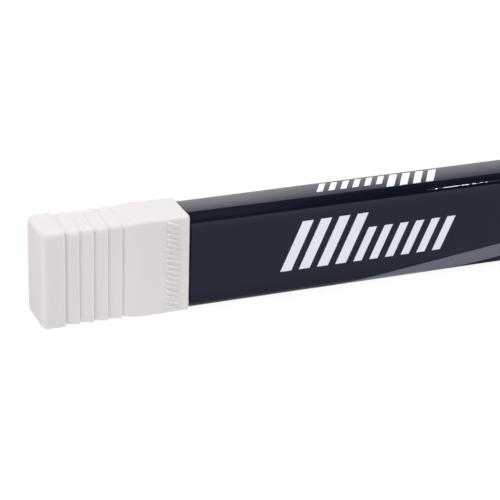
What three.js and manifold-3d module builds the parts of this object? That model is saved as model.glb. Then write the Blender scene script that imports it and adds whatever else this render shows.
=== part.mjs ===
// A ringette stick, in millimetres. A hollow composite shaft has a ribbed plastic tip glued into its
// playing end and a plastic cap glued into its butt.
// The origin is the centre of the tip's end face. +X runs along the stick to the butt, +Z across the
// shaft's broad face, and Y through its thickness. The stick lies level on its lower narrow side.
import * as THREE from 'three';
import * as BufferGeometryUtils from 'three/addons/utils/BufferGeometryUtils.js';
import Module from 'manifold-3d';

// Shaft: a tube of one wall thickness, with a rounded rectangle as its section.
const shaftLength = 1320;
const shaftWidth = 30;
const shaftThickness = 15;
const shaftWall = 2;
const shaftEdgeRadius = 2.4;
const boreEdgeRadius = 1.5;

// The tip and the cap both stand proud of the shaft by one step, all round.
const endStep = 0.6;
const endEdgeRadius = 1.5;

// Tip: end block, saw-tooth grip rings, and a plain sleeve up to the shaft.
const tipLength = 45.5;
const endBlockLength = 7;
const endRoundBroad = 2;
const endRoundNarrow = 1.3;
const toothCount = 4;
const toothPitch = 4.4;
const toothRootDepth = 0.8;
const toothCrestDepth = 0.2;
const crestRound = 0.35;
const sleeveRootDepth = 0.75;
const sleeveRise = 4.5;
const rimRound = 0.4;

// Raised bars on both broad faces of the tip's sleeve, one above the other.
const barCount = 10;
const barPitch = 2.8;
const barLength = 3.8;
const barThickness = 1.2;
const barSlant = 1.6;
const barHeight = 0.3;
const barFromRim = 2.8;

// Cap: a flange that covers the end of the tube.
const capFlangeLength = 5;
const capRound = 1.6;

// Spigots of the tip and the cap, with ring grooves that key into the adhesive.
const tipSpigotLength = 60;
const tipGrooveCount = 4;
const capSpigotLength = 28;
const capGrooveCount = 2;
const grooveWidth = 5;
const grooveDepth = 0.5;
const leadIn = 0.8;
const spigotWall = 2;
const coreWeb = 2;
const coreEdgeRadius = 0.8;
const tipCoreFloor = 9;
const capCoreFloor = 3;

// Adhesive, and the clearances between pieces.
const glueLine = 0.8;
const glueInset = 2;
const meshGap = 0.15;
const seatGap = 0.3;
const overrun = 1;

// Counts of facets.
const edgeSteps = 6;
const roundSteps = 5;

// Sizes that follow from the ones above.
const shaftStart = tipLength + seatGap;
const shaftEnd = shaftStart + shaftLength;
const stickLength = shaftEnd + seatGap + capFlangeLength;
const endWidth = shaftWidth + 2 * endStep;
const endThickness = shaftThickness + 2 * endStep;
const boreWidth = shaftWidth - 2 * shaftWall;
const boreThickness = shaftThickness - 2 * shaftWall;
const spigotWidth = boreWidth - 2 * glueLine;
const spigotThickness = boreThickness - 2 * glueLine;
const spigotEdgeRadius = boreEdgeRadius - glueLine;

const wasm = await Module();
wasm.setup();

// A station is a rounded rectangle across the stick at x.
function station(x, width, thickness, radius, middle = 0) {
  return { x, width, thickness, radius, middle };
}

// A station of the tip's or the cap's outside, set in from their common outline.
function endStation(x, inNarrow, inBroad = inNarrow) {
  return station(x, endWidth - 2 * inNarrow, endThickness - 2 * inBroad, endEdgeRadius);
}

function stationPoints({ x, width, thickness, radius, middle }) {
  const corners = [[1, 1], [-1, 1], [-1, -1], [1, -1]];
  return corners.flatMap(([sideY, sideZ], corner) =>
    Array.from({ length: edgeSteps + 1 }, (_, step) => {
      const angle = (corner + step / edgeSteps) * Math.PI / 2;
      const y = sideY * (thickness / 2 - radius) + radius * Math.cos(angle);
      const z = middle + sideZ * (width / 2 - radius) + radius * Math.sin(angle);
      return new THREE.Vector3(x, y, z);
    }));
}

// A closed body through stations in the order of x, with a flat face at each end.
function loft(stations) {
  const rings = stations.map(stationPoints);
  const around = rings[0].length;
  const points = rings.flat();
  const first = points.length;
  const last = first + 1;
  points.push(new THREE.Vector3(stations[0].x, 0, stations[0].middle));
  points.push(new THREE.Vector3(stations.at(-1).x, 0, stations.at(-1).middle));
  const faces = [];
  for (let step = 0; step < around; step += 1) {
    const next = (step + 1) % around;
    faces.push(first, next, step);
    for (let row = 0; row + 1 < rings.length; row += 1) {
      const near = row * around;
      const far = near + around;
      faces.push(near + step, near + next, far + next);
      faces.push(near + step, far + next, far + step);
    }
    const end = (rings.length - 1) * around;
    faces.push(last, end + step, end + next);
  }
  const geometry = new THREE.BufferGeometry().setFromPoints(points);
  geometry.setIndex(faces);
  return geometry;
}

// A geometry as a solid that can be joined and cut.
function solid(geometry) {
  const bare = geometry.clone();
  bare.deleteAttribute('normal');
  bare.deleteAttribute('uv');
  const merged = BufferGeometryUtils.mergeVertices(bare);
  return new wasm.Manifold(new wasm.Mesh({
    numProp: 3,
    vertProperties: new Float32Array(merged.attributes.position.array),
    triVerts: new Uint32Array(merged.index.array),
  }));
}

function part(name, body, material) {
  const { vertProperties, triVerts } = body.getMesh();
  const geometry = new THREE.BufferGeometry();
  geometry.setAttribute('position', new THREE.BufferAttribute(vertProperties, 3));
  geometry.setIndex(new THREE.BufferAttribute(triVerts, 1));
  geometry.computeVertexNormals();
  const mesh = new THREE.Mesh(geometry, material);
  mesh.name = name;
  return mesh;
}

// Stations of a rounded end face at x = 0. The two radii are measured on the broad and narrow sides.
function roundedEnd(roundNarrow, roundBroad) {
  const longest = Math.max(roundNarrow, roundBroad);
  const drop = (radius, x) => {
    const left = Math.max(radius - x, 0);
    return radius - Math.sqrt(radius ** 2 - left ** 2);
  };
  return Array.from({ length: roundSteps + 1 }, (_, step) => {
    const x = longest * (1 - Math.cos((step / roundSteps) * Math.PI / 2));
    return endStation(x, drop(roundNarrow, x), drop(roundBroad, x));
  });
}

// Stations of a spigot that starts at x. grow widens it all round, to cut the space that it needs.
function spigotStations(start, length, grooveCount, grow = 0) {
  const at = (x, depth) => station(
    x,
    spigotWidth - 2 * depth + 2 * grow,
    spigotThickness - 2 * depth + 2 * grow,
    spigotEdgeRadius,
  );
  const pitch = length / (grooveCount + 1);
  const grooves = Array.from({ length: grooveCount }, (_, index) => {
    const middle = start + (index + 1) * pitch;
    const near = middle - grooveWidth / 2 + grow;
    const far = middle + grooveWidth / 2 - grow;
    return [at(near, 0), at(near, grooveDepth), at(far, grooveDepth), at(far, 0)];
  });
  const end = start + length;
  return [at(start, 0), ...grooves.flat(), at(end - leadIn, 0), at(end, leadIn / 2)];
}

// Two blind pockets with a web between them, open at the spigot's inner end.
function core(floor, spigotEnd) {
  const pocketWidth = (spigotWidth - 2 * grooveDepth - 2 * spigotWall - coreWeb) / 2;
  const pocketThickness = spigotThickness - 2 * grooveDepth - 2 * spigotWall;
  const pockets = [-1, 1].map((side) => {
    const middle = side * (pocketWidth + coreWeb) / 2;
    const size = [pocketWidth, pocketThickness, coreEdgeRadius, middle];
    return solid(loft([station(floor, ...size), station(spigotEnd + overrun, ...size)]));
  });
  return pockets[0].add(pockets[1]);
}

function toothRings() {
  return Array.from({ length: toothCount }, (_, index) => {
    const foot = endBlockLength + index * toothPitch;
    const crest = foot + toothPitch;
    return [
      endStation(foot, toothRootDepth),
      endStation(crest - crestRound, toothCrestDepth),
      endStation(crest, toothCrestDepth + crestRound / 2),
    ];
  }).flat();
}

function sleeveStations() {
  const start = endBlockLength + toothCount * toothPitch;
  const rise = Array.from({ length: roundSteps + 1 }, (_, step) => {
    const share = step / roundSteps;
    return endStation(
      start + share * sleeveRise,
      sleeveRootDepth * (1 - Math.sin(share * Math.PI / 2)),
    );
  });
  return [...rise, endStation(tipLength - rimRound, 0), endStation(tipLength, rimRound)];
}

// One bar on the broad face that side (-1 or 1) names, rooted in the face. It falls towards the shaft.
function raisedBar(index, side) {
  const far = tipLength - barFromRim;
  const near = far - barLength;
  const middle = (index - (barCount - 1) / 2) * barPitch;
  const low = middle - barThickness / 2;
  const outline = new THREE.Shape([
    new THREE.Vector2(near, low + barSlant / 2),
    new THREE.Vector2(far, low - barSlant / 2),
    new THREE.Vector2(far, low - barSlant / 2 + barThickness),
    new THREE.Vector2(near, low + barSlant / 2 + barThickness),
  ]);
  const bar = new THREE.ExtrudeGeometry(outline, {
    depth: barHeight + overrun,
    bevelEnabled: false,
  });
  bar.rotateX(Math.PI / 2);
  const outer = endThickness / 2 + barHeight;
  return solid(bar.translate(0, side > 0 ? outer : overrun - endThickness / 2, 0));
}

function tip() {
  const outside = loft([
    ...roundedEnd(endRoundNarrow, endRoundBroad),
    endStation(endBlockLength - crestRound, 0),
    endStation(endBlockLength, crestRound / 2),
    ...toothRings(),
    ...sleeveStations(),
    ...spigotStations(tipLength, tipSpigotLength, tipGrooveCount),
  ]);
  let body = solid(outside).subtract(core(tipCoreFloor, tipLength + tipSpigotLength));
  for (let index = 0; index < barCount; index += 1) {
    body = body.add(raisedBar(index, -1)).add(raisedBar(index, 1));
  }
  return body;
}

// The cap is built as the tip is, from its own end face, and turned round when it is placed.
function buttCap() {
  const outside = loft([
    ...roundedEnd(capRound, capRound),
    endStation(capFlangeLength - rimRound, 0),
    endStation(capFlangeLength, rimRound),
    ...spigotStations(capFlangeLength, capSpigotLength, capGrooveCount),
  ]);
  return solid(outside).subtract(core(capCoreFloor, capFlangeLength + capSpigotLength));
}

function shaftTube() {
  const tube = (width, thickness, radius, from, to) => solid(loft([
    station(from, width, thickness, radius),
    station(to, width, thickness, radius),
  ]));
  const outside = tube(shaftWidth, shaftThickness, shaftEdgeRadius, shaftStart, shaftEnd);
  const bore = tube(
    boreWidth,
    boreThickness,
    boreEdgeRadius,
    shaftStart - overrun,
    shaftEnd + overrun,
  );
  return outside.subtract(bore);
}

// The adhesive fills the bore round a spigot that starts at x = root, and keys into its grooves.
function adhesive(root, length, grooveCount) {
  const sleeve = (x) => station(
    x,
    boreWidth - 2 * meshGap,
    boreThickness - 2 * meshGap,
    boreEdgeRadius - meshGap,
  );
  const outside = solid(loft([sleeve(root + seatGap + glueInset), sleeve(root + length - glueInset)]));
  return outside.subtract(solid(loft(spigotStations(root, length, grooveCount, meshGap))));
}

const composite = new THREE.MeshStandardMaterial({ color: 0x1b1f2b, roughness: 0.12, metalness: 0 });
const whitePlastic = new THREE.MeshStandardMaterial({ color: 0xeeecec, roughness: 0.5, metalness: 0 });
const blackPlastic = new THREE.MeshStandardMaterial({ color: 0x1d1e22, roughness: 0.45, metalness: 0 });
const amberGlue = new THREE.MeshStandardMaterial({ color: 0xc9a45c, roughness: 0.35, metalness: 0 });

const stick = new THREE.Group();
stick.add(part('tip', tip(), whitePlastic));
stick.add(part('tip_adhesive', adhesive(tipLength, tipSpigotLength, tipGrooveCount), amberGlue));
stick.add(part('shaft_tube', shaftTube(), composite));

const butt = new THREE.Group();
butt.add(part('butt_cap', buttCap(), blackPlastic));
butt.add(part('butt_adhesive', adhesive(capFlangeLength, capSpigotLength, capGrooveCount), amberGlue));
butt.rotation.z = Math.PI;
butt.position.x = stickLength;
stick.add(butt);

export default stick;
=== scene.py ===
import bisect
import math

import bmesh
import bpy
from mathutils import Matrix, Vector


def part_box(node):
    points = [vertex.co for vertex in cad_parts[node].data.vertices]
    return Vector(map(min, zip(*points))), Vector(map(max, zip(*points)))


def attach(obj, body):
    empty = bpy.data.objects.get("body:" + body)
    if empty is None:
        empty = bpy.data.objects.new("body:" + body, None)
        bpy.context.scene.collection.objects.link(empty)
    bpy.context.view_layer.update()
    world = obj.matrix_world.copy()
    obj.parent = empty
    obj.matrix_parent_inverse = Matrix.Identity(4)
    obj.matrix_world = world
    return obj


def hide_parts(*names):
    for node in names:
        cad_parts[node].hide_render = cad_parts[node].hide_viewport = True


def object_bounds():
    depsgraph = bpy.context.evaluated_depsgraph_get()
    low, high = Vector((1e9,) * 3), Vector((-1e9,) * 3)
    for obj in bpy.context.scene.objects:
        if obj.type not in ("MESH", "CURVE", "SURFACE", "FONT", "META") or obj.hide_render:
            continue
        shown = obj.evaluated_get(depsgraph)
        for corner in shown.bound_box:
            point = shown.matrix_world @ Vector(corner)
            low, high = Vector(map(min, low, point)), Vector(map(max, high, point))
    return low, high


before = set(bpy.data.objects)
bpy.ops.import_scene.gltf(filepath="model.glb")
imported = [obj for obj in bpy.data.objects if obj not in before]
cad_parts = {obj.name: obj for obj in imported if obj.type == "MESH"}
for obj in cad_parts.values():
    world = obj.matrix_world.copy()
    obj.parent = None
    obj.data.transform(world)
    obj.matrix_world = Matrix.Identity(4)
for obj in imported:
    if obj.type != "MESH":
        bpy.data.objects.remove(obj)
CAD_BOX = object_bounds()
MM = 0.001


def node_box(node):
    """The lowest and highest corners of a CAD node, in millimetres."""
    low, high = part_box(node)
    return low / MM, high / MM


SHAFT_LOW, SHAFT_HIGH = node_box("shaft_tube")
CAP_LOW, CAP_HIGH = node_box("butt_cap")

# Shaft. SKIN_GROWTH is how far its coated outside stands over the CAD's, and the crowns are the angles that
# its broad and narrow sides have turned by at their edges.
SHAFT_START = SHAFT_LOW.x
SHAFT_END = SHAFT_HIGH.x
SHAFT_WIDTH = SHAFT_HIGH.z - SHAFT_LOW.z
SHAFT_THICKNESS = SHAFT_HIGH.y - SHAFT_LOW.y
SHAFT_EDGE_RADIUS = 2.2
SKIN_GROWTH = 0.1
SHAFT_WALL = 2.0
BORE_EDGE_RADIUS = 1.5
BROAD_CROWN_DEGREES = 0.6
NARROW_CROWN_DEGREES = 3.5
SHAFT_STATION_GAP = 20.0
SKIN_BROAD_STEPS = 12
SKIN_NARROW_STEPS = 10
SKIN_EDGE_STEPS = 14
BORE_DETAIL = (4, 2, 6)

# Tip and cap. The CAD leaves SEAT_GAP between the tip's rim and the shaft. Here the rim reaches RIM_REACH
# farther, and the shaft starts JOINT_GAP past it, so the joint shows as a dark line. TIP_LIFT is how far
# the tip's outside is raised at its end face and at its rim. A detail is a ring's counts of steps: along
# a broad side, a narrow side and a corner.
SEAT_GAP = 0.3
RIM_REACH = 0.05
JOINT_GAP = 0.75
END_WIDTH = CAP_HIGH.z - CAP_LOW.z
END_THICKNESS = CAP_HIGH.y - CAP_LOW.y
END_EDGE_RADIUS = 1.8
RIM_EDGE_RADIUS = 0.9
TIP_LIFT = (0.5, 0.33)
TIP_DETAIL = (320, 20, 10)
TIP_LENGTH = SHAFT_START - SEAT_GAP + RIM_REACH
TIP_END = node_box("tip")[1].x
END_BLOCK_LENGTH = 7.0
END_ROUND_BROAD = 1.7
END_ROUND_NARROW = 1.6
TOOTH_COUNT = 4
TOOTH_PITCH = 4.4
TOOTH_ROOT_DEPTH = 0.62
TOOTH_CREST_DEPTH = 0.17
CREST_RADIUS = 0.1
FOOT_RADIUS = 0.2
LIP_LENGTH = 0.35
LIP_HEIGHT = 0.17
RIM_LIP_HEIGHT = 0.05
SLEEVE_ROOT_DEPTH = 0.68
SLEEVE_RISE = 7.0
SLEEVE_DRAFT = 0.2
SLEEVE_STEPS = 12
SWELL_RADIUS = 0.01
RIM_RADIUS = 0.12

# Raised bars of the tip.
BAR_COUNT = 17
BAR_PITCH = 1.7
BAR_LENGTH = 4.0
BAR_THICKNESS = 0.8
BAR_SLANT = 1.3
BAR_HEIGHT = 0.6
BAR_FROM_RIM = 3.15
BAR_RAMP = 0.2
BAR_STEPS = 30

# Spigots, and the pockets that core them.
GLUE_LINE = 0.8
SPIGOT_WIDTH = SHAFT_WIDTH - 2 * SHAFT_WALL - 2 * GLUE_LINE
SPIGOT_THICKNESS = SHAFT_THICKNESS - 2 * SHAFT_WALL - 2 * GLUE_LINE
SPIGOT_EDGE_RADIUS = BORE_EDGE_RADIUS - GLUE_LINE
TIP_GROOVES = 4
CAP_GROOVES = 2
GROOVE_WIDTH = 5.0
GROOVE_DEPTH = 0.5
LEAD_IN = 0.8
SPIGOT_WALL = 2.0
CORE_WEB = 2.0
CORE_EDGE_RADIUS = 0.8
CORE_DETAIL = (4, 2, 5)
TIP_CORE_FLOOR = 9.0
CAP_FLANGE_LENGTH = 5.0
CAP_ROUND = 1.6
CAP_EDGE_RADIUS = 1.8
CAP_CORE_FLOOR = 3.0
CAP_DETAIL = (24, 12, 10)

# Prints on the shaft: ink films that stand this far over its surface and reach this far under it.
INK_LIFT = 0.03
INK_SINK = 0.05

# Faces that meet at less than this many degrees are shaded as one smooth surface.
MOULDING_SMOOTH = 35
SKIN_SMOOTH = 50


def add_node(tree, kind, settings=None, links=None):
    """Adds a node with its settings (inputs or properties, by name) and its links (input to socket)."""
    node = tree.nodes.new(kind)
    for name, value in (settings or {}).items():
        if isinstance(name, int) or name in node.inputs:
            node.inputs[name].default_value = value
        else:
            setattr(node, name, value)
    for name, socket in (links or {}).items():
        tree.links.new(socket, node.inputs[name])
    return node


def colour(hex_code):
    """An sRGB hex colour as the linear red, green, blue and alpha that Blender takes."""
    channels = [int(hex_code[i:i + 2], 16) / 255 for i in (1, 3, 5)]
    linear = [c / 12.92 if c <= 0.04045 else ((c + 0.055) / 1.055) ** 2.4 for c in channels]
    return (*linear, 1.0)


def set_stops(ramp, stops):
    """Sets the stops of a colour ramp: their positions from 0 to 1 and their hex colours."""
    while len(ramp.color_ramp.elements) < len(stops):
        ramp.color_ramp.elements.new(0.5)
    for element, (position, hex_code) in zip(ramp.color_ramp.elements, stops):
        element.position = position
        element.color = colour(hex_code)


def new_material(name):
    """An empty node material with its output node."""
    material = bpy.data.materials.new(name)
    material.use_nodes = True
    tree = material.node_tree
    tree.nodes.clear()
    return material, tree, add_node(tree, "ShaderNodeOutputMaterial")


ROUND_STEPS = 5
ROUND_SHARE = 0.45


def rounded_path(points, radii):
    """A path through points in a plane, each inner corner rounded to its radius. No round takes more than
    its share of the shorter line beside it."""
    path = [points[0]]
    for before, corner, after, radius in zip(points, points[1:], points[2:], radii):
        here = Vector(corner)
        back = Vector(before) - here
        ahead = Vector(after) - here
        reach = ROUND_SHARE * min(back.length, ahead.length)
        back.normalize()
        ahead.normalize()
        half = back.angle(ahead) / 2
        cut = min(radius / math.tan(half), reach)
        centre = here + (back + ahead).normalized() * (cut / math.cos(half))
        start = here + back * cut - centre
        end = here + ahead * cut - centre
        turn = math.pi - 2 * half
        side = 1 if start.x * end.y - start.y * end.x > 0 else -1
        for step in range(ROUND_STEPS + 1):
            angle = side * turn * step / ROUND_STEPS
            spoke = Matrix.Rotation(angle, 2) @ start
            path.append(tuple(centre + spoke))
    path.append(points[-1])
    return path


def ring(width, thickness, radius, broad_steps, narrow_steps, corner_steps, middle=0.0):
    """Points (y, z) round a rounded rectangle, anticlockwise seen from the butt."""
    half_y = thickness / 2 - radius
    half_z = width / 2 - radius
    points = []
    sides = (
        ((half_y + radius, -half_z), (half_y + radius, half_z), broad_steps),
        ((half_y, half_z + radius), (-half_y, half_z + radius), narrow_steps),
        ((-half_y - radius, half_z), (-half_y - radius, -half_z), broad_steps),
        ((-half_y, -half_z - radius), (half_y, -half_z - radius), narrow_steps),
    )
    centres = ((half_y, half_z), (-half_y, half_z), (-half_y, -half_z), (half_y, -half_z))
    for corner, ((start, end, steps), (cy, cz)) in enumerate(zip(sides, centres)):
        for step in range(steps):
            share = step / steps
            y = start[0] + (end[0] - start[0]) * share
            z = start[1] + (end[1] - start[1]) * share
            points.append((y, middle + z))
        for step in range(corner_steps):
            angle = (corner + step / corner_steps) * math.pi / 2
            points.append((cy + radius * math.cos(angle), middle + cz + radius * math.sin(angle)))
    return points


def add_ring(mesh, x, points):
    """Adds the vertices of a ring at x."""
    return [mesh.verts.new((x * MM, y * MM, z * MM)) for y, z in points]


def join_rings(mesh, near, far):
    """Adds the band of faces between two rings of the same count."""
    count = len(near)
    for i in range(count):
        j = (i + 1) % count
        mesh.faces.new((near[i], near[j], far[j], far[i]))


def fill_flat(mesh, rings):
    """Closes a flat face that has one or more rings as its edges."""
    edges = [
        mesh.edges.get((r[i], r[(i + 1) % len(r)])) or mesh.edges.new((r[i], r[(i + 1) % len(r)]))
        for r in rings
        for i in range(len(r))
    ]
    bmesh.ops.triangle_fill(mesh, use_beauty=True, edges=edges)


def finish_mesh(mesh, name, material, smooth_degrees=MOULDING_SMOOTH):
    """Turns a bmesh into an object with one material, shaded smooth up to an angle."""
    bmesh.ops.recalc_face_normals(mesh, faces=mesh.faces)
    data = bpy.data.meshes.new(name)
    mesh.to_mesh(data)
    mesh.free()
    data.shade_smooth()
    data.set_sharp_from_angle(angle=math.radians(smooth_degrees))
    data.materials.append(material)
    piece = bpy.data.objects.new(name, data)
    bpy.context.scene.collection.objects.link(piece)
    return piece


def smooth_step(value):
    """0 below 0, 1 above 1, and an even S between them."""
    value = min(max(value, 0.0), 1.0)
    return value * value * (3 - 2 * value)


def place(piece, slot, *nodes):
    """Rides a piece on the stick and hides the nodes it replaces. Its slot is not used."""
    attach(piece, "root")
    if nodes:
        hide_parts(*nodes)


# Camera, matched to the photograph by its long edges, the tip's corners and its ring steps.
CAMERA_LENS = 151.12
CAMERA_SENSOR = 36
CAMERA_CLIP = (0.01, 50)
CAMERA_PLACE = (-154.1, -542.2, 261.2)
CAMERA_TURN_DEGREES = 22.305
CAMERA_DOWN_DEGREES = 24.169
CAMERA_ROLL_DEGREES = 1.61


def add_camera():
    data = bpy.data.cameras.new("camera")
    data.lens = CAMERA_LENS
    data.sensor_width = CAMERA_SENSOR
    data.clip_start, data.clip_end = CAMERA_CLIP
    camera = bpy.data.objects.new("camera", data)
    turn = Matrix.Rotation(math.radians(-CAMERA_TURN_DEGREES), 4, "Z")
    tilt = Matrix.Rotation(math.radians(90 - CAMERA_DOWN_DEGREES), 4, "X")
    roll = Matrix.Rotation(math.radians(CAMERA_ROLL_DEGREES), 4, "Z")
    place_matrix = Matrix.Translation(Vector(CAMERA_PLACE) * MM)
    camera.matrix_world = place_matrix @ turn @ tilt @ roll
    bpy.context.scene.collection.objects.link(camera)
    bpy.context.scene.camera = camera


add_camera()

# Studio. The floor is as high as the stick's lowest side and reaches this many metres each way.
FLOOR_HALF = 12.0
# The paper's own light and its share of the paper's look, for the light that it gives and for the camera.
PAPER_WHITE = "#F4F4F5"
PAPER_GLOW = (0.824, 1.03)
GLOW_SHARE = (0.85, 0.9)
AMBIENT = "#454444"
# What the stick's gloss mirrors, by the angle about the stick: 0 is the horizon behind it, 90 is
# overhead and 180 is the horizon before it. A white backdrop stands behind, up to an edge, and over it is a
# dark ceiling. Each has its look near the tip and away from it, and the mirrored direction's share along X
# tells the two apart.
BACKDROP_REACH = 40.0
BACKDROP_NEAR = (
    (16, "#FBFBFB"),
    (20, "#F2F2F4"),
    (22, "#EDEDF1"),
    (24, "#E7E7F0"),
    (26.5, "#CFCFDD"),
    (29, "#B1B1C2"),
)
BACKDROP_AWAY = (
    (16, "#FBFBFB"),
    (20, "#F1F1F3"),
    (22, "#EAEAEE"),
    (24, "#E0E0E9"),
    (26.5, "#C6C6D4"),
    (30, "#A0A0B0"),
)
BACKDROP_EDGE = (28.8, 30.05)
BACKDROP_EDGE_WIDTH = 0.2
BACKDROP_EDGE_SHARES = (0.335, 0.445)
CEILING_REACH = 180.0
CEILING_NEAR = (
    (29, "#393943"),
    (44, "#48494D"),
    (66, "#59595D"),
    (100, "#66676A"),
    (125, "#66676A"),
    (137, "#59595D"),
    (150, "#46464B"),
    (178, "#414247"),
)
CEILING_AWAY = ((29, "#303037"), (44, "#212125"), (178, "#1D1D21"))
ROOM_STRENGTH = (1.53, 1.285)
ROOM_SHARES = (0.335, 0.395)
# What gloss sees of the floor, by millimetres across from the stick's middle: a painted reflection, with
# painted light by the stick's foot, painted shade beside it and lighter farther off.
PAINTED_FLOOR_REFLECTION_REACH = 100.0
PAINTED_FLOOR_REFLECTION = (
    (8.6, "#D8D5CA"),
    (9.8, "#A0A9C0"),
    (15, "#A0A9C0"),
    (19, "#B0B9D2"),
    (64, "#B0B9D2"),
    (74, "#D0D6F3"),
)
# The painted light at the stick's foot ends between these places along X, and past them it keeps this
# share of its light.
PAINTED_FOOT_LIGHT_END = (112.0, 135.0)
PAINTED_FOOT_LIGHT_LEFT = 0.3
# A painted dark patch lies farther along, seen only in gloss. Its slanted front edge is where the place
# across plus the slope below times the place along reaches the front below, and its side is at the side
# below, along X.
DARK_REFLECTION_SLOPE = 0.88
DARK_REFLECTION_FRONT = (262.0, 268.0)
DARK_REFLECTION_SIDE = (108.0, 116.0)
PAINTED_DARK_REFLECTION = "#1A1A1E"


def add_world():
    """Even light all round. Glossy rays see the studio's room instead, and the camera sees white."""
    world = bpy.data.worlds.new("studio")
    bpy.context.scene.world = world
    world.use_nodes = True
    tree = world.node_tree
    tree.nodes.clear()
    path = add_node(tree, "ShaderNodeLightPath")
    way = add_node(tree, "ShaderNodeTexCoord")
    axes = add_node(tree, "ShaderNodeSeparateXYZ", links={"Vector": way.outputs["Generated"]})
    angle = add_node(
        tree, "ShaderNodeMath", {"operation": "ARCTAN2"},
        {0: axes.outputs["Z"], 1: axes.outputs["Y"]},
    )
    away = add_node(
        tree, "ShaderNodeMapRange",
        {"interpolation_type": "SMOOTHSTEP", "From Min": ROOM_SHARES[0], "From Max": ROOM_SHARES[1]},
        {"Value": axes.outputs["X"]},
    )
    walls = []
    for reach, looks in (
        (BACKDROP_REACH, (BACKDROP_NEAR, BACKDROP_AWAY)),
        (CEILING_REACH, (CEILING_NEAR, CEILING_AWAY)),
    ):
        share = add_node(
            tree, "ShaderNodeMapRange", {"From Max": math.radians(reach)}, {"Value": angle.outputs[0]},
        )
        sides = []
        for stops, strength in zip(looks, ROOM_STRENGTH):
            ramp = add_node(tree, "ShaderNodeValToRGB", links={"Fac": share.outputs[0]})
            set_stops(ramp, [(degrees / reach, hex_code) for degrees, hex_code in stops])
            side = add_node(
                tree, "ShaderNodeBackground", {"Strength": strength}, {"Color": ramp.outputs["Color"]},
            )
            sides.append(side.outputs[0])
        wall = add_node(tree, "ShaderNodeMixShader", links={0: away.outputs[0], 1: sides[0], 2: sides[1]})
        walls.append(wall.outputs[0])
    edge = add_node(
        tree, "ShaderNodeMapRange",
        {"From Min": BACKDROP_EDGE_SHARES[0], "From Max": BACKDROP_EDGE_SHARES[1],
         "To Min": math.radians(BACKDROP_EDGE[0]), "To Max": math.radians(BACKDROP_EDGE[1])},
        {"Value": axes.outputs["X"]},
    )
    past_edge = add_node(
        tree, "ShaderNodeMath", {"operation": "SUBTRACT"}, {0: angle.outputs[0], 1: edge.outputs[0]},
    )
    over = add_node(
        tree, "ShaderNodeMapRange", {"From Max": math.radians(BACKDROP_EDGE_WIDTH)},
        {"Value": past_edge.outputs[0]},
    )
    mirrored = add_node(tree, "ShaderNodeMixShader", links={0: over.outputs[0], 1: walls[0], 2: walls[1]})
    even = add_node(tree, "ShaderNodeBackground", {"Color": colour(AMBIENT)})
    white = add_node(tree, "ShaderNodeBackground", {"Color": colour("#FFFFFF")})
    lit = add_node(
        tree, "ShaderNodeMixShader",
        links={0: path.outputs["Is Glossy Ray"], 1: even.outputs[0], 2: mirrored.outputs[0]},
    )
    seen = add_node(
        tree, "ShaderNodeMixShader",
        links={0: path.outputs["Is Camera Ray"], 1: lit.outputs[0], 2: white.outputs[0]},
    )
    add_node(tree, "ShaderNodeOutputWorld", links={"Surface": seen.outputs[0]})


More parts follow.
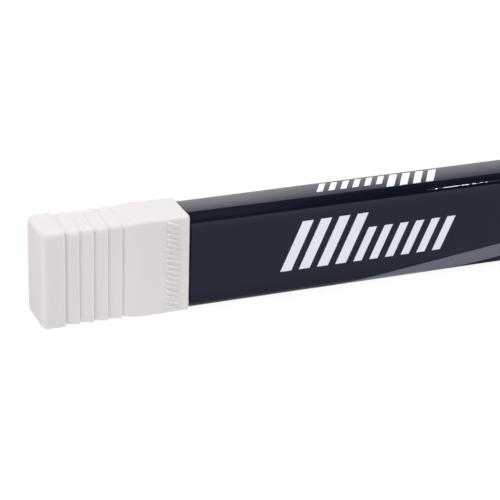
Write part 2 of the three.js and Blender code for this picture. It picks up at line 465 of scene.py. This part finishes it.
def floor_paper():
    """Matt white paper, faintly lit from below. The camera sees it white, with a share of the stick's
    soft shadow. Gloss sees a painted reflection of it instead: painted shade beside the stick, painted
    light at its foot and a painted dark patch farther along."""
    material, tree, output = new_material("white_floor_paper")
    path = add_node(tree, "ShaderNodeLightPath")
    paper = add_node(tree, "ShaderNodeBsdfDiffuse", {"Color": colour(PAPER_WHITE), "Roughness": 1.0})
    brightness = add_node(
        tree, "ShaderNodeMapRange", {"To Min": PAPER_GLOW[0], "To Max": PAPER_GLOW[1]},
        {"Value": path.outputs["Is Camera Ray"]},
    )
    glow = add_node(
        tree, "ShaderNodeEmission", {"Color": colour("#FFFFFF")}, {"Strength": brightness.outputs[0]},
    )
    place_on = add_node(tree, "ShaderNodeTexCoord").outputs["Object"]
    axes = add_node(tree, "ShaderNodeSeparateXYZ", links={"Vector": place_on})
    off = add_node(tree, "ShaderNodeMath", {"operation": "ABSOLUTE"}, {0: axes.outputs["Y"]})
    share = add_node(
        tree, "ShaderNodeMapRange", {"From Max": PAINTED_FLOOR_REFLECTION_REACH * MM}, {"Value": off.outputs[0]},
    )
    # What gloss sees of the floor is painted: light at the stick's foot, shade beside it, lighter farther
    # off.
    tint = add_node(tree, "ShaderNodeValToRGB", links={"Fac": share.outputs[0]})
    set_stops(tint, [(across / PAINTED_FLOOR_REFLECTION_REACH, hex_code) for across, hex_code in PAINTED_FLOOR_REFLECTION])
    # The painted light at the stick's foot fades out along X.
    painted_foot_light = add_node(
        tree, "ShaderNodeMapRange",
        {"From Min": PAINTED_FOOT_LIGHT_END[0] * MM, "From Max": PAINTED_FOOT_LIGHT_END[1] * MM, "To Min": 1.0, "To Max": PAINTED_FOOT_LIGHT_LEFT},
        {"Value": axes.outputs["X"]},
    )
    under = add_node(
        tree, "ShaderNodeMapRange",
        {"From Min": PAINTED_FLOOR_REFLECTION[0][0] * MM, "From Max": PAINTED_FLOOR_REFLECTION[1][0] * MM},
        {"Value": off.outputs[0], "To Min": painted_foot_light.outputs[0]},
    )
    # The painted dark patch farther along, seen only in gloss.
    dark_reflection_line = add_node(
        tree, "ShaderNodeMath", {"operation": "MULTIPLY_ADD", 1: DARK_REFLECTION_SLOPE},
        {0: axes.outputs["X"], 2: off.outputs[0]},
    )
    dark_reflection_front = add_node(
        tree, "ShaderNodeMapRange", {"From Min": DARK_REFLECTION_FRONT[0] * MM, "From Max": DARK_REFLECTION_FRONT[1] * MM},
        {"Value": dark_reflection_line.outputs[0]},
    )
    dark_reflection_side = add_node(
        tree, "ShaderNodeMapRange", {"From Min": DARK_REFLECTION_SIDE[0] * MM, "From Max": DARK_REFLECTION_SIDE[1] * MM},
        {"Value": axes.outputs["X"]},
    )
    # The mask of that painted dark patch.
    card = add_node(
        tree, "ShaderNodeMath", {"operation": "MULTIPLY"},
        {0: dark_reflection_front.outputs[0], 1: dark_reflection_side.outputs[0]},
    )
    painted_reflection_tint = add_node(
        tree, "ShaderNodeMix", {"data_type": "RGBA", 7: colour(PAINTED_DARK_REFLECTION)},
        {0: card.outputs[0], 6: tint.outputs["Color"]},
    )
    # Gloss sees this painted reflection, which glows, instead of the paper.
    mirrored = add_node(
        tree, "ShaderNodeEmission", links={"Color": painted_reflection_tint.outputs[2], "Strength": under.outputs[0]},
    )
    glow_share = add_node(
        tree, "ShaderNodeMapRange", {"To Min": GLOW_SHARE[0], "To Max": GLOW_SHARE[1]},
        {"Value": path.outputs["Is Camera Ray"]},
    )
    lit_paper = add_node(
        tree, "ShaderNodeMixShader",
        links={0: glow_share.outputs[0], 1: paper.outputs[0], 2: glow.outputs[0]},
    )
    seen = add_node(
        tree, "ShaderNodeMixShader",
        links={0: path.outputs["Is Glossy Ray"], 1: lit_paper.outputs[0], 2: mirrored.outputs[0]},
    )
    tree.links.new(seen.outputs[0], output.inputs["Surface"])
    return material


def add_floor():
    mesh = bmesh.new()
    height = CAD_BOX[0].z
    corners = ((-1, -1), (1, -1), (1, 1), (-1, 1))
    mesh.faces.new([mesh.verts.new((x * FLOOR_HALF, y * FLOOR_HALF, height)) for x, y in corners])
    floor = finish_mesh(mesh, "floor", floor_paper())


# Soft lamps: each one's place in metres, its width and height, its power, its colour and the place along X
# that it points at. The last is a small card on the paper, which throws light up at the tip's sleeve.
SOFT_LAMPS = {
    "overhead_lamp": ((0.1, 0.35, 1.5), (1.8, 1.8), 23.9, "#FFFEFE", 0.0),
    "key_lamp": ((-1.38, -0.95, 0.75), (0.8, 0.8), 16.6, "#FEF5EF", 0.0),
    "side_lamp": ((1.3, -0.7, 0.9), (0.8, 0.8), 6.5, "#F6F7FB", 0.0),
    "card_lamp": ((0.034, -0.024, -0.0152), (0.048, 0.008), 0.00055, "#F6FAFF", 0.034),
}
# The gloss mirrors only a row of small lamps, as a broken bright line along the shaft's upper edge. Each
# has a place along X, a width, a power and its place along Y and Z. The first is a dim strip behind the
# others.
STRIP_FRONT = (-1.129, 0.747)
STRIP_BEHIND = (-1.141, 0.755)
STRIP_LAMPS = (
    (0.8087, 0.0897, 0.11, STRIP_BEHIND),
    (0.7667, 0.0025, 0.075, STRIP_FRONT),
    (0.7843, 0.0178, 0.41, STRIP_FRONT),
    (0.7999, 0.0082, 0.2, STRIP_FRONT),
    (0.8101, 0.0038, 0.095, STRIP_FRONT),
    (0.8181, 0.004, 0.05, STRIP_FRONT),
    (0.8237, 0.0021, 0.042, STRIP_FRONT),
)
STRIP_HEIGHT = 0.14
STRIP_COLOUR = "#E4EAFF"


def add_soft_lamp(name, location, size, watts, hex_code, aim_x):
    """A rectangular area lamp that points at the stick, at a place along it."""
    data = bpy.data.lights.new(name, "AREA")
    data.shape = "RECTANGLE"
    data.size, data.size_y = size
    data.energy = watts
    data.color = colour(hex_code)[:3]
    lamp = bpy.data.objects.new(name, data)
    lamp.location = location
    lamp.rotation_mode = "QUATERNION"
    lamp.rotation_quaternion = (Vector(location) - Vector((aim_x, 0, 0))).to_track_quat("Z", "Y")
    lamp.visible_glossy = name.startswith("strip_lamp")
    lamp.visible_camera = False
    bpy.context.scene.collection.objects.link(lamp)


def add_studio():
    bpy.context.scene.view_settings.view_transform = "Standard"
    add_world()
    add_floor()
    for name, settings in SOFT_LAMPS.items():
        add_soft_lamp(name, *settings)
    for index, (x, width, watts, across) in enumerate(STRIP_LAMPS):
        add_soft_lamp(f"strip_lamp_{index}", (x, *across), (width, STRIP_HEIGHT), watts, STRIP_COLOUR, x)


add_studio()

# Materials.
TIP_WHITE = "#EEECED"
TIP_WHITE_WARM = "#EFEBEB"
SHAFT_NAVY = "#121624"
SHAFT_NAVY_DEEP = "#101421"
INK_WHITE = "#FFFFFF"
INK_WHITE_DEEP = "#F8FAFF"
INK_GREY = "#737886"
INK_GREY_DEEP = "#686C79"
CAP_BLACK = "#1C1D20"
GLUE_AMBER = "#C9A45C"
# A faint blue glow on the white ink: painted light, emitted whatever the lamps.
PAINTED_GLOW_BLUE = (0.08, 0.22, 1.0, 1.0)
WHITE_INK_PAINTED_GLOW = 0.1
# Sizes of the patterns, in millimetres.
NYLON_CLOUDS = 14.0
NYLON_GRAIN = 0.35
NAVY_CLOUDS = 6.0
WHITE_INK_CLOUDS = 0.6
GREY_INK_CLOUDS = 1.2
ORANGE_PEEL = 2.2
ABS_GRAIN = 0.4
GLUE_FLOW = 3.0


def moulded_nylon():
    """White nylon, injection moulded: a soft satin that lets a little light in, with a fine eroded
    grain from the mould and faint clouds where the melt flowed."""
    material, tree, output = new_material("white_moulded_nylon")
    place_on = add_node(tree, "ShaderNodeTexCoord").outputs["Object"]
    clouds = add_node(
        tree, "ShaderNodeTexNoise", {"Scale": 1 / (NYLON_CLOUDS * MM), "Detail": 3.0, "Roughness": 0.5},
        {"Vector": place_on},
    )
    tint = add_node(
        tree, "ShaderNodeMix", {"data_type": "RGBA", 6: colour(TIP_WHITE), 7: colour(TIP_WHITE_WARM)},
        {0: clouds.outputs["Fac"]},
    )
    grain = add_node(
        tree, "ShaderNodeTexNoise", {"Scale": 1 / (NYLON_GRAIN * MM), "Detail": 2.0, "Roughness": 0.6},
        {"Vector": place_on},
    )
    sheen_patches = add_node(
        tree, "ShaderNodeMapRange", {"To Min": 0.42, "To Max": 0.54}, {"Value": grain.outputs["Fac"]},
    )
    bump = add_node(
        tree, "ShaderNodeBump", {"Strength": 0.35, "Distance": 0.02 * MM},
        {"Height": grain.outputs["Fac"]},
    )
    skin = add_node(
        tree, "ShaderNodeBsdfPrincipled",
        {"IOR": 1.53, "Subsurface Weight": 0.6, "Subsurface Scale": 1.2 * MM,
         "Subsurface Radius": (1.0, 0.95, 0.9), "Specular IOR Level": 0.4},
        {"Base Color": tint.outputs[2], "Roughness": sheen_patches.outputs[0],
         "Normal": bump.outputs[0]},
    )
    tree.links.new(skin.outputs[0], output.inputs["Surface"])
    return material


def clear_coated(name, light, dark, cloud_size, painted_glow=0.0):
    """A colour under the shaft's sprayed clear coat: a hard wet gloss with a trace of orange peel. White
    ink also glows a faint blue: painted light, emitted whatever the lamps, that lifts its blue."""
    material, tree, output = new_material(name)
    place_on = add_node(tree, "ShaderNodeTexCoord").outputs["Object"]
    clouds = add_node(
        tree, "ShaderNodeTexNoise", {"Scale": 1 / (cloud_size * MM), "Detail": 4.0, "Roughness": 0.6},
        {"Vector": place_on},
    )
    tint = add_node(
        tree, "ShaderNodeMix", {"data_type": "RGBA", 6: colour(light), 7: colour(dark)},
        {0: clouds.outputs["Fac"]},
    )
    peel = add_node(
        tree, "ShaderNodeTexNoise", {"Scale": 1 / (ORANGE_PEEL * MM), "Detail": 1.5, "Roughness": 0.4},
        {"Vector": place_on},
    )
    ripple = add_node(
        tree, "ShaderNodeBump", {"Strength": 0.04, "Distance": 0.01 * MM},
        {"Height": peel.outputs["Fac"]},
    )
    paint = add_node(
        tree, "ShaderNodeBsdfPrincipled",
        {"Roughness": 0.45, "IOR": 1.5, "Specular IOR Level": 0.0, "Coat Weight": 1.0,
         "Coat Roughness": 0.01, "Coat IOR": 1.5, "Emission Color": PAINTED_GLOW_BLUE,
         "Emission Strength": painted_glow},
        {"Base Color": tint.outputs[2], "Coat Normal": ripple.outputs[0]},
    )
    tree.links.new(paint.outputs[0], output.inputs["Surface"])
    return material


def moulded_abs():
    """Black ABS, injection moulded: satin, with a spark-eroded grain."""
    material, tree, output = new_material("black_moulded_abs")
    place_on = add_node(tree, "ShaderNodeTexCoord").outputs["Object"]
    grain = add_node(
        tree, "ShaderNodeTexNoise", {"Scale": 1 / (ABS_GRAIN * MM), "Detail": 2.0}, {"Vector": place_on},
    )
    patches = add_node(
        tree, "ShaderNodeMapRange", {"To Min": 0.38, "To Max": 0.55}, {"Value": grain.outputs["Fac"]},
    )
    bump = add_node(
        tree, "ShaderNodeBump", {"Strength": 0.5, "Distance": 0.03 * MM}, {"Height": grain.outputs["Fac"]},
    )
    skin = add_node(
        tree, "ShaderNodeBsdfPrincipled", {"Base Color": colour(CAP_BLACK), "IOR": 1.54},
        {"Roughness": patches.outputs[0], "Normal": bump.outputs[0]},
    )
    tree.links.new(skin.outputs[0], output.inputs["Surface"])
    return material


def hot_melt():
    """Amber hot-melt adhesive, cast in place: a waxy gloss that light passes into."""
    material, tree, output = new_material("amber_hot_melt")
    place_on = add_node(tree, "ShaderNodeTexCoord").outputs["Object"]
    flow = add_node(
        tree, "ShaderNodeTexNoise", {"Scale": 1 / (GLUE_FLOW * MM), "Detail": 2.0}, {"Vector": place_on},
    )
    bump = add_node(
        tree, "ShaderNodeBump", {"Strength": 0.4, "Distance": 0.1 * MM}, {"Height": flow.outputs["Fac"]},
    )
    wax = add_node(
        tree, "ShaderNodeBsdfPrincipled",
        {"Base Color": colour(GLUE_AMBER), "Roughness": 0.28, "IOR": 1.48, "Subsurface Weight": 0.4,
         "Subsurface Scale": 1.5 * MM},
        {"Normal": bump.outputs[0]},
    )
    tree.links.new(wax.outputs[0], output.inputs["Surface"])
    return material


WHITE_NYLON = moulded_nylon()
NAVY_COAT = clear_coated("navy_clear_coated_composite", SHAFT_NAVY, SHAFT_NAVY_DEEP, NAVY_CLOUDS)
# The white ink carries the painted blue glow.
WHITE_INK = clear_coated(
    "white_ink_under_clear_coat", INK_WHITE, INK_WHITE_DEEP, WHITE_INK_CLOUDS, WHITE_INK_PAINTED_GLOW,
)
GREY_INK = clear_coated("grey_ink_under_clear_coat", INK_GREY, INK_GREY_DEEP, GREY_INK_CLOUDS)
BLACK_ABS = moulded_abs()
AMBER_GLUE = hot_melt()


def end_ring(in_narrow, in_broad, edge_radius, detail):
    """A ring of the tip's or the cap's outline, set in by a depth on its narrow and broad sides."""
    return ring(END_WIDTH - 2 * in_narrow, END_THICKNESS - 2 * in_broad, edge_radius, *detail)


def round_drop(radius, x):
    """How far a rounded end of that radius has dropped in at x from the end face."""
    left = max(radius - x, 0.0)
    return radius - math.sqrt(radius ** 2 - left ** 2)


END_ROUND_STEPS = 10


def end_stations(round_narrow, round_broad):
    """(x, narrow depth, broad depth) round the edge of an end face."""
    longest = max(round_narrow, round_broad)
    stations = []
    for step in range(END_ROUND_STEPS + 1):
        x = longest * (1 - math.cos(step / END_ROUND_STEPS * math.pi / 2))
        stations.append((x, round_drop(round_narrow, x), round_drop(round_broad, x)))
    return stations


def spigot_stations(start, length, groove_count):
    """(x, depth) along a spigot, with its ring grooves."""
    pitch = length / (groove_count + 1)
    stations = [(start, 0.0)]
    for index in range(groove_count):
        middle = start + (index + 1) * pitch
        near, far = middle - GROOVE_WIDTH / 2, middle + GROOVE_WIDTH / 2
        stations += [(near, 0.0), (near, GROOVE_DEPTH), (far, GROOVE_DEPTH), (far, 0.0)]
    end = start + length
    return stations + [(end - LEAD_IN, 0.0), (end, LEAD_IN / 2)]


def moulding(name, outside, edge_radius, relief, spigot, floor, detail, material, to_stick):
    """A tip or cap: outer rings whose points the relief may move, and a spigot cored by two pockets."""
    mesh = bmesh.new()
    rings = []
    for x, in_narrow, in_broad in outside:
        points = [relief(x, y, z) for y, z in end_ring(in_narrow, in_broad, edge_radius(x), detail)]
        rings.append(add_ring(mesh, x, points))
    for x, depth in spigot:
        points = ring(
            SPIGOT_WIDTH - 2 * depth, SPIGOT_THICKNESS - 2 * depth, SPIGOT_EDGE_RADIUS, *detail,
        )
        rings.append(add_ring(mesh, x, points))
    for near, far in zip(rings, rings[1:]):
        join_rings(mesh, near, far)
    mesh.faces.new(reversed(rings[0]))
    pocket_width = (SPIGOT_WIDTH - 2 * GROOVE_DEPTH - 2 * SPIGOT_WALL - CORE_WEB) / 2
    pocket_thickness = SPIGOT_THICKNESS - 2 * GROOVE_DEPTH - 2 * SPIGOT_WALL
    mouths = []
    for side in (-1, 1):
        middle = side * (pocket_width + CORE_WEB) / 2
        section = ring(pocket_width, pocket_thickness, CORE_EDGE_RADIUS, *CORE_DETAIL, middle)
        bottom = add_ring(mesh, floor, section)
        mouth = add_ring(mesh, spigot[-1][0], section)
        join_rings(mesh, mouth, bottom)
        mesh.faces.new(bottom)
        mouths.append(mouth)
    fill_flat(mesh, [rings[-1], *mouths])
    bmesh.ops.transform(mesh, matrix=to_stick, verts=mesh.verts)
    return finish_mesh(mesh, name, material)


def tip_edge_radius(x):
    """The radius of the tip's long edges: soft at the end block and crisper towards the rim."""
    share = min(max((x - END_BLOCK_LENGTH) / (TIP_LENGTH - END_BLOCK_LENGTH), 0.0), 1.0)
    return END_EDGE_RADIUS + (RIM_EDGE_RADIUS - END_EDGE_RADIUS) * share


def tip_relief(x, y, z):
    """Sets the tip's outside a trace high on the shaft, and lifts its slanted bars off its broad faces."""
    seat = z + TIP_LIFT[0] + (TIP_LIFT[1] - TIP_LIFT[0]) * x / TIP_LENGTH
    if abs(y) < END_THICKNESS / 2 - END_EDGE_RADIUS / 2:
        return y, seat
    far = TIP_LENGTH - BAR_FROM_RIM
    near = far - BAR_LENGTH
    along = smooth_step((x - near) / BAR_RAMP) * smooth_step((far - x) / BAR_RAMP)
    if along == 0:
        return y, seat
    fall = BAR_SLANT * (0.5 - (x - near) / BAR_LENGTH)
    index = round((z - fall) / BAR_PITCH + (BAR_COUNT - 1) / 2)
    index = min(max(index, 0), BAR_COUNT - 1)
    middle = (index - (BAR_COUNT - 1) / 2) * BAR_PITCH + fall
    across = smooth_step((BAR_THICKNESS / 2 - abs(z - middle)) / BAR_RAMP)
    return y + math.copysign(BAR_HEIGHT * along * across, y), seat


SLEEVE_START = END_BLOCK_LENGTH + TOOTH_COUNT * TOOTH_PITCH


def sleeve_depth(x):
    """How far the sleeve is set in at x: it swells after the last tooth and drafts in to its rim."""
    swell = min((x - SLEEVE_START) / SLEEVE_RISE, 1.0)
    draft = max((x - SLEEVE_START - SLEEVE_RISE) / (TIP_LENGTH - SLEEVE_START - SLEEVE_RISE), 0.0)
    return SLEEVE_ROOT_DEPTH * (1 - math.sin(swell * math.pi / 2)) + SLEEVE_DRAFT * draft


def tip_outside():
    """Stations of the tip from its end face to its rim, with rounded crests and feet."""
    path = [(END_ROUND_BROAD, 0.0), (END_BLOCK_LENGTH - LIP_LENGTH, 0.0), (END_BLOCK_LENGTH, -LIP_HEIGHT)]
    radii = [LIP_LENGTH, CREST_RADIUS]
    for index in range(TOOTH_COUNT):
        foot = END_BLOCK_LENGTH + index * TOOTH_PITCH
        crest = foot + TOOTH_PITCH
        lip = (crest - LIP_LENGTH, TOOTH_CREST_DEPTH)
        path += [(foot, TOOTH_ROOT_DEPTH), lip, (crest, TOOTH_CREST_DEPTH - LIP_HEIGHT)]
        radii += [FOOT_RADIUS, LIP_LENGTH, CREST_RADIUS]
    for step in range(SLEEVE_STEPS + 1):
        x = SLEEVE_START + SLEEVE_RISE * step / SLEEVE_STEPS
        path.append((x, sleeve_depth(x)))
    radii += [FOOT_RADIUS] + [SWELL_RADIUS] * SLEEVE_STEPS
    rim_depth = sleeve_depth(TIP_LENGTH)
    lip = (TIP_LENGTH - LIP_LENGTH, rim_depth)
    path += [lip, (TIP_LENGTH, rim_depth - RIM_LIP_HEIGHT), (TIP_LENGTH, rim_depth + RIM_RADIUS * 2)]
    radii += [LIP_LENGTH, RIM_RADIUS]
    rounded = rounded_path(path, radii)
    bars_near = TIP_LENGTH - BAR_FROM_RIM - BAR_LENGTH
    before = [p for p in rounded if p[0] < bars_near]
    after = [p for p in rounded if p[0] > bars_near + BAR_LENGTH]
    bars_x = [bars_near + BAR_LENGTH * step / BAR_STEPS for step in range(BAR_STEPS + 1)]
    bars = [(x, sleeve_depth(x)) for x in bars_x]
    return end_stations(END_ROUND_NARROW, END_ROUND_BROAD) + [
        (x, depth, depth) for x, depth in before[1:] + bars + after
    ]


def add_tip():
    tip = moulding(
        "tip_moulding", tip_outside(), tip_edge_radius, tip_relief,
        spigot_stations(TIP_LENGTH, TIP_END - TIP_LENGTH, TIP_GROOVES),
        TIP_CORE_FLOOR, TIP_DETAIL, WHITE_NYLON, Matrix.Identity(4),
    )
    place(tip, "tip_plastic", "tip")


def add_cap():
    """The cap is made as the tip is, from its own end face, and turned to the butt."""
    path = [(CAP_ROUND, 0.0), (CAP_FLANGE_LENGTH, 0.0), (CAP_FLANGE_LENGTH, RIM_RADIUS * 2)]
    rounded = rounded_path(path, [RIM_RADIUS])
    outside = end_stations(CAP_ROUND, CAP_ROUND) + [(x, depth, depth) for x, depth in rounded[1:]]
    length = CAP_HIGH.x - CAP_LOW.x - CAP_FLANGE_LENGTH
    to_butt = Matrix.Translation((CAP_HIGH.x * MM, 0, 0)) @ Matrix.Rotation(math.pi, 4, "Z")
    cap = moulding(
        "butt_cap_moulding", outside, lambda x: CAP_EDGE_RADIUS, lambda x, y, z: (y, z),
        spigot_stations(CAP_FLANGE_LENGTH, length, CAP_GROOVES),
        CAP_CORE_FLOOR, CAP_DETAIL, BLACK_ABS, to_butt,
    )
    place(cap, "cap_plastic", "butt_cap")


add_tip()
add_cap()


def skin_outline():
    """The shaft's outside as (s, y, z, normal y, normal z), s along it from the middle of the front
    face, up and round. Each side is a shallow crown and the four edges are arcs that meet it smoothly."""
    broad = math.radians(BROAD_CROWN_DEGREES)
    narrow = math.radians(NARROW_CROWN_DEGREES)
    radius = SHAFT_EDGE_RADIUS
    # Half lengths of the sides, from two equations in which the crowns and arcs add up to the box.
    thickness = SHAFT_THICKNESS + 2 * SKIN_GROWTH
    width = SHAFT_WIDTH + 2 * SKIN_GROWTH
    a = thickness / 2 + radius * math.sin(narrow) - radius * math.cos(broad)
    b = width / 2 + radius * math.sin(broad) - radius * math.cos(narrow)
    p, q = math.tan(broad) / 2, math.tan(narrow) / 2
    half_broad = (b - q * a) / (1 - p * q)
    half_narrow = a - p * half_broad
    centre_y = half_narrow - radius * math.sin(narrow)
    centre_z = half_broad - radius * math.sin(broad)
    quarter = []
    for step in range(SKIN_BROAD_STEPS + 1):
        z = half_broad * step / SKIN_BROAD_STEPS
        lean = broad * z / half_broad
        y = thickness / 2 - math.tan(broad) * z * z / (2 * half_broad)
        quarter.append((y, z, math.cos(lean), math.sin(lean)))
    for step in range(1, SKIN_EDGE_STEPS):
        angle = broad + (math.pi / 2 - broad - narrow) * step / SKIN_EDGE_STEPS
        cos, sin = math.cos(angle), math.sin(angle)
        quarter.append((centre_y + radius * cos, centre_z + radius * sin, cos, sin))
    for step in range(SKIN_NARROW_STEPS, -1, -1):
        y = half_narrow * step / SKIN_NARROW_STEPS
        lean = narrow * y / half_narrow
        z = width / 2 - math.tan(narrow) * y * y / (2 * half_narrow)
        quarter.append((y, z, math.sin(lean), math.cos(lean)))
    front_top = [(-y, z, -ny, nz) for y, z, ny, nz in quarter]
    back_top = [(y, z, ny, nz) for y, z, ny, nz in reversed(quarter)][1:]
    top = front_top + back_top
    bottom = [(y, -z, ny, -nz) for y, z, ny, nz in reversed(top)][1:-1]
    loop = top + bottom
    outline, s = [], 0.0
    for index, (y, z, ny, nz) in enumerate(loop):
        if index:
            s += math.dist((y, z), loop[index - 1][:2])
        outline.append((s, y, z, ny, nz))
    around = s + math.dist(loop[-1][:2], loop[0][:2])
    return outline, around


OUTLINE, AROUND = skin_outline()
OUTLINE_S = [row[0] for row in OUTLINE]


def on_skin(x, s, lift):
    """The point of the shaft's outside at x and s, lifted off it, in metres."""
    s %= AROUND
    i = bisect.bisect_right(OUTLINE_S, s) - 1
    here = OUTLINE[i]
    ahead = OUTLINE[i + 1] if i + 1 < len(OUTLINE) else (AROUND, *OUTLINE[0][1:])
    share = (s - here[0]) / (ahead[0] - here[0])
    y, z, ny, nz = [here[k] + (ahead[k] - here[k]) * share for k in range(1, 5)]
    return Vector((x, y + ny * lift, z + nz * lift)) * MM


def add_shaft():
    """The tube: its crowned and clear-coated outside, its plain bore and its two cut ends."""
    mesh = bmesh.new()
    outside = [(row[1], row[2]) for row in OUTLINE]
    bore = ring(
        SHAFT_WIDTH - 2 * SHAFT_WALL, SHAFT_THICKNESS - 2 * SHAFT_WALL, BORE_EDGE_RADIUS, *BORE_DETAIL,
    )
    start = TIP_LENGTH + JOINT_GAP
    count = round((SHAFT_END - start) / SHAFT_STATION_GAP)
    xs = [start + (SHAFT_END - start) * i / count for i in range(count + 1)]
    ends = []
    for section in (outside, bore):
        rings = [add_ring(mesh, x, section) for x in xs]
        for near, far in zip(rings, rings[1:]):
            join_rings(mesh, near, far)
        ends.append((rings[0], rings[-1]))
    for cut in zip(*ends):
        fill_flat(mesh, cut)
    shaft = finish_mesh(mesh, "shaft_body", NAVY_COAT, SKIN_SMOOTH)
    place(shaft, "shaft_composite", "shaft_tube")


add_shaft()


def ink_film(name, patches, material, slot):
    """A closed ink film. Each patch is a function of u and v from 0 to 1 that gives x and s, and the
    counts of its steps along u and v."""
    mesh = bmesh.new()
    for spot, u_steps, v_steps in patches:
        sheets = []
        for lift in (INK_LIFT, -INK_SINK):
            sheets.append([
                [mesh.verts.new(on_skin(*spot(u / u_steps, v / v_steps), lift)) for v in range(v_steps + 1)]
                for u in range(u_steps + 1)
            ])
        over, under = sheets
        for u in range(u_steps):
            for v in range(v_steps):
                quad = [(u, v), (u + 1, v), (u + 1, v + 1), (u, v + 1)]
                mesh.faces.new([over[i][j] for i, j in quad])
                mesh.faces.new([under[i][j] for i, j in reversed(quad)])
        rim = [(u, 0) for u in range(u_steps)] + [(u_steps, v) for v in range(v_steps)]
        rim += [(u, v_steps) for u in range(u_steps, 0, -1)] + [(0, v) for v in range(v_steps, 0, -1)]
        for (i, j), (m, n) in zip(rim, rim[1:] + rim[:1]):
            mesh.faces.new((over[i][j], under[i][j], under[m][n], over[m][n]))
    film = finish_mesh(mesh, name, material, SKIN_SMOOTH)
    place(film, slot)


# White bars: a taller group, then a lower and longer one. Each group has a count of bars, their width, the
# gap between them and their height. The motif starts at MOTIF_START along X and MOTIF_BASE up the front.
MOTIF_START = 75.4
MOTIF_BASE = -6.9
MOTIF_SLANT = 0.434
MOTIF_GROUPS = ((4, 3.6, 2.5, 15.9), (6, 2.8, 2.6, 10.9))
MOTIF_HEIGHT = MOTIF_GROUPS[0][3]
MOTIF_STEPS = (2, 4)
# On the two narrow sides it is smaller: its scales along and up, where it starts and its shift on the top.
NARROW_SCALES = (0.74, 0.54)
TOP_START = 132.9
TOP_SHIFT = 0.5
BOTTOM_START = 88.0


def motif_bars():
    """(start, width, height) of each bar of the motif, in its own millimetres."""
    bars, start = [], 0.0
    for count, width, gap, height in MOTIF_GROUPS:
        for _ in range(count):
            bars.append((start, width, height))
            start += width + gap
    return bars


def motif_patches(x_zero, s_zero, along, up):
    """The motif laid on the skin: x_zero and s_zero are its lower left corner, and along and up are
    how far it goes along x and s for each of its millimetres, below 0 where it runs against them."""
    def patch(start, width, height):
        def spot(u, v):
            rise = v * height
            x = start + u * width + rise * MOTIF_SLANT
            return x_zero + along * x, s_zero + up * rise
        return spot, *MOTIF_STEPS
    return [patch(*bar) for bar in motif_bars()]


def add_white_motifs():
    """One motif on each of the four sides. On the top it faces backward."""
    length = sum(motif_bars()[-1][:2])
    span = length + MOTIF_HEIGHT * MOTIF_SLANT
    top_middle = AROUND / 4
    along, up = NARROW_SCALES
    rise = up * MOTIF_HEIGHT
    layouts = {
        "front": (MOTIF_START, MOTIF_BASE, 1, 1),
        "top": (TOP_START, top_middle + rise / 2 + TOP_SHIFT, -along, -up),
        "back": (MOTIF_START + span, AROUND / 2 - MOTIF_BASE, -1, -1),
        "bottom": (BOTTOM_START, -top_middle - rise / 2, along, up),
    }
    for side, layout in layouts.items():
        ink_film(f"white_bars_{side}", motif_patches(*layout), WHITE_INK, "print_white")


add_white_motifs()

# The grey band: it comes up round the shaft's lower edge at an even slope, levels off and runs out. The
# line of its upper edge passes s = BAND_FOOT_S at x = BAND_FOOT_X.
BAND_START = 80.0
BAND_LEVELS = 190.0
BAND_LEVEL_RUN = 60.0
BAND_END = 430.0
BAND_SLOPE = 0.1166
BAND_FOOT_X = 28.3
BAND_FOOT_S = -22.27
BAND_WIDTH = 4.35
BAND_STEPS = (160, 36)


def band_upper(x):
    """s of the band's upper edge at x."""
    beyond = max(x - BAND_LEVELS, 0.0)
    run = min(x, BAND_LEVELS) - BAND_START + BAND_LEVEL_RUN * (1 - math.exp(-beyond / BAND_LEVEL_RUN))
    return BAND_FOOT_S + BAND_SLOPE * (run + BAND_START - BAND_FOOT_X)


def band_width(x):
    """The band's width at x."""
    return BAND_WIDTH * (1 - smooth_step((x - BAND_LEVELS) / (BAND_END - BAND_LEVELS)))


def add_grey_band():
    def spot(u, v):
        x = BAND_START + (BAND_END - BAND_START) * u
        return x, band_upper(x) - band_width(x) * v
    ink_film("grey_band_front", [(spot, *BAND_STEPS)], GREY_INK, "print_grey")


add_grey_band()

# The two glue sleeves keep the CAD's shape.
for node in ("tip_adhesive", "butt_adhesive"):
    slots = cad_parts[node].data.materials
    slots.clear()
    slots.append(AMBER_GLUE)
